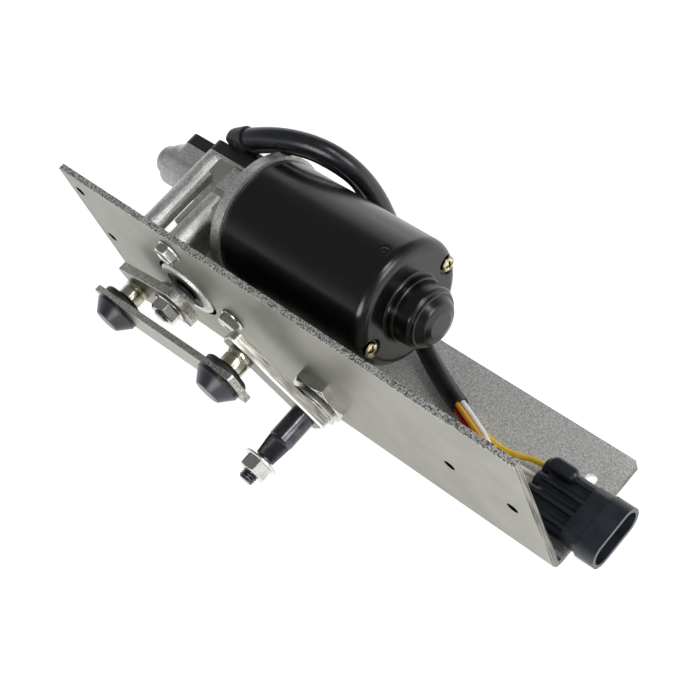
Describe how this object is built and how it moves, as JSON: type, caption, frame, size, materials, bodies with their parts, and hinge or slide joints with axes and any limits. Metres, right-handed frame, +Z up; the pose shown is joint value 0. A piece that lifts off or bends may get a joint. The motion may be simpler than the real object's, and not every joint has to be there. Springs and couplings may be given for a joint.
{
  "type": "wiper motor assembly",
  "caption": "Windscreen wiper motor with worm gearbox, crank and ball-jointed link that swings a wiper shaft, all on a folded steel mounting bracket with a sealed connector.",
  "frame": {"origin": "centre of the underside of the bracket's base flange", "axes": "+X along the bracket towards the connector, +Y back from the front flange, +Z up, away from the base flange"},
  "size_m": [0.2905, 0.1361, 0.1056],
  "materials": {
    "bracket_zinc": "satin zinc",
    "zinc_bright": "bright zinc",
    "link_zinc": "satin zinc",
    "stud_yellow": "yellow zinc",
    "spring_steel": "plain spring steel",
    "shaft_steel": "ground steel",
    "shaft_black": "black oxide",
    "cast_case": "satin cast",
    "cover_plastic": "matt",
    "gasket": "matt",
    "bronze": "sintered bronze",
    "brass": "plain brass",
    "rubber": "matt",
    "can_paint": "gloss black",
    "ferrite": "matt",
    "carbon": "matt",
    "core_iron": "laminated",
    "copper": "enamelled copper",
    "board": "matt",
    "wheel_plastic": "matt",
    "cap_plastic": "satin",
    "connector_plastic": "gloss",
    "seal_rubber": "satin",
    "sleeve": "satin",
    "red": "satin",
    "orange": "satin",
    "white": "satin",
    "yellow": "satin"
  },
  "bodies": {
    "base": {"mounting_bracket": "bracket_zinc", "housing_bolts": "zinc_bright", "gear_housing": "cast_case", "cover_gasket": "gasket", "gear_cover": "cover_plastic", "cover_screws": "zinc_bright", "cover_clip": "spring_steel", "park_plate": "board", "park_contacts": "brass", "output_bush": "bronze", "output_seal": "rubber", "thrust_ball": "shaft_steel", "front_bearing": "bronze", "motor_can": "can_paint", "can_screws": "brass", "magnets": "ferrite", "end_bush": "bronze", "brush_plate": "board", "brushes": "carbon", "brush_springs": "spring_steel", "pivot_housing": "link_zinc", "pivot_bushes": "bronze", "pivot_nut": "zinc_bright", "cable_boot": "rubber", "cable_sleeve": "sleeve", "vent_hose": "rubber", "connector_housing": "connector_plastic", "connector_pins": "brass", "connector_seals": "seal_rubber", "wire_red": "red", "wire_orange": "orange", "wire_white": "white", "wire_yellow": "yellow"},
    "armature": {"armature_shaft": "shaft_steel", "armature_core": "core_iron", "armature_windings": "copper", "commutator": "copper"},
    "output": {"worm_wheel": "wheel_plastic", "output_shaft": "shaft_steel", "output_circlip": "spring_steel", "crank_arm": "link_zinc", "crank_nut": "zinc_bright", "crank_stud": "stud_yellow"},
    "wiper": {"wiper_shaft": "shaft_black", "shaft_circlip": "spring_steel", "thrust_washers": "zinc_bright", "wiper_lever": "link_zinc", "lever_stud": "stud_yellow", "wiper_nut": "zinc_bright"},
    "link": {"link_bar": "link_zinc", "link_caps": "cap_plastic", "link_boots": "rubber", "link_ball": "stud_yellow"}
  },
  "joints": [
    {"name": "armature_spin", "type": "hinge", "parent": "base", "child": "armature", "pos_m": [-0.0725, 0.0112, 0.0707], "axis": [1, 0, 0], "range_deg": [-11437.2, 0]},
    {"name": "crank_turn", "type": "hinge", "parent": "base", "child": "output", "pos_m": [-0.0725, -0.0295, 0.046], "axis": [0, 1, 0], "range_deg": [0, 190.7]},
    {"name": "wiper_swing", "type": "hinge", "parent": "base", "child": "wiper", "pos_m": [0.012, -0.0295, 0.029], "axis": [0, 1, 0], "range_deg": [0, 97.7]},
    {"name": "link_pivot", "type": "hinge", "parent": "wiper", "child": "link", "pos_m": [-0.01555, -0.0567, 0.05561], "axis": [0, 1, 0], "range_deg": [-90.05, 0]}
  ],
  "couplings": [
    {"joint": "crank_turn", "follows": "armature_spin", "ratio": -0.016667},
    {"joint": "wiper_swing", "follows": "armature_spin", "ratio": -0.0085362},
    {"joint": "link_pivot", "follows": "armature_spin", "ratio": 0.0078664}
  ]
}
